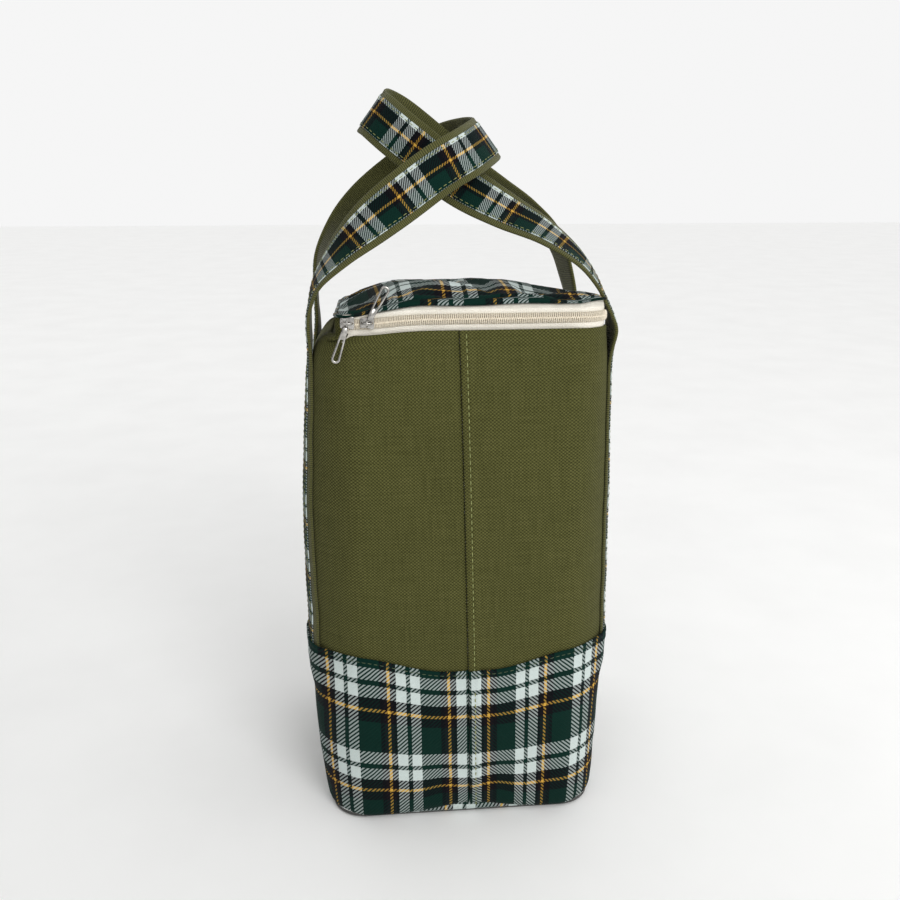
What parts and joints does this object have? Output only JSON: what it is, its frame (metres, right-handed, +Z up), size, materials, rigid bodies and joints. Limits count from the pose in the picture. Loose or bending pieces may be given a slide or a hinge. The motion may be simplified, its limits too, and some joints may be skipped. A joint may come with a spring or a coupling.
{
  "type": "insulated cooler bag",
  "caption": "Tall insulated carry bag with a plaid base band, a hinged padded zip lid and crossed webbing handles.",
  "frame": {"origin": "centre of the base on the floor", "axes": "+X to the right of the front, the zip sliders' side; +Y to the back; +Z up. The lid hinge is on the -X side"},
  "size_m": [0.1966, 0.185, 0.4716],
  "materials": {
    "canvas": "tightly woven olive canvas",
    "plaid_cloth": "twill-woven plaid in dark green, navy, white and gold",
    "plaid_ribbon": "plaid ribbon, top-stitched",
    "webbing": "ribbed olive cotton webbing",
    "liner": "smooth heat-reflecting liner sheet",
    "foam": "closed-cell white foam",
    "board": "stiffening board",
    "zip_tape": "cream woven zip tape",
    "zip_coil": "cream nylon coil",
    "zip_metal": "plated zip metal"
  },
  "bodies": {
    "bag": {"base_panel": "plaid_cloth", "base_board": "board", "base_foam": "foam", "liner_base": "liner", "canvas_left_panel": "canvas", "canvas_right_panel": "canvas", "band_left_panel": "plaid_cloth", "band_right_panel": "plaid_cloth", "foam_left": "foam", "foam_right": "foam", "liner_wall": "liner", "rim_binding": "liner", "zip_tape_body": "zip_tape", "zip_coil_body": "zip_coil", "zip_stop_near": "zip_metal", "zip_stop_far": "zip_metal", "lid_hinge_strip": "canvas", "strap_left_near_webbing": "webbing", "strap_left_far_webbing": "webbing", "strap_right_near_webbing": "webbing", "strap_right_far_webbing": "webbing", "strap_left_near_ribbon": "plaid_ribbon", "strap_left_far_ribbon": "plaid_ribbon", "strap_right_near_ribbon": "plaid_ribbon", "strap_right_far_ribbon": "plaid_ribbon"},
    "lid": {"lid_panel": "plaid_cloth", "lid_foam": "foam", "lid_liner": "liner", "zip_tape_lid": "zip_tape", "zip_coil_lid": "zip_coil"},
    "handle_left": {"handle_left_webbing": "webbing", "handle_left_ribbon": "plaid_ribbon"},
    "handle_right": {"handle_right_webbing": "webbing", "handle_right_ribbon": "plaid_ribbon"},
    "slider_a": {"slider_a_body": "zip_metal"},
    "slider_b": {"slider_b_body": "zip_metal"},
    "pull_a": {"pull_a_tab": "zip_metal"},
    "pull_b": {"pull_b_tab": "zip_metal"}
  },
  "joints": [
    {"name": "lid_hinge", "type": "hinge", "parent": "bag", "child": "lid", "pos_m": [-0.0867, 0, 0.3376], "axis": [0, -1, 0], "range_deg": [0, 115], "deforming": ["lid_hinge_strip"]},
    {"name": "handle_left_swing", "type": "hinge", "parent": "bag", "child": "handle_left", "pos_m": [-0.0911, 0, 0.32], "axis": [0, -1, 0], "range_deg": [0, 98], "deforming": ["handle_left_webbing", "handle_left_ribbon"]},
    {"name": "handle_right_swing", "type": "hinge", "parent": "bag", "child": "handle_right", "pos_m": [0.0911, 0, 0.32], "axis": [0, 1, 0], "range_deg": [0, 115], "deforming": ["handle_right_webbing", "handle_right_ribbon"]},
    {"name": "slider_a_travel", "type": "slide", "parent": "bag", "child": "slider_a", "axis": [1, 0, 0], "range_m": [0, 0.002]},
    {"name": "slider_b_travel", "type": "slide", "parent": "bag", "child": "slider_b", "axis": [1, 0, 0], "range_m": [0, 0.112]},
    {"name": "pull_a_swing", "type": "hinge", "parent": "slider_a", "child": "pull_a", "pos_m": [-0.0694, -0.0915, 0.3364], "axis": [-1, 0, 0], "range_deg": [0, 145]},
    {"name": "pull_b_swing", "type": "hinge", "parent": "slider_b", "child": "pull_b", "pos_m": [-0.058, -0.0915, 0.3364], "axis": [1, 0, 0], "range_deg": [0, 174]}
  ],
  "couplings": [
    {"joint": "handle_left_swing", "follows": "lid_hinge", "ratio": 0.85},
    {"joint": "handle_right_swing", "follows": "lid_hinge", "ratio": 1}
  ]
}
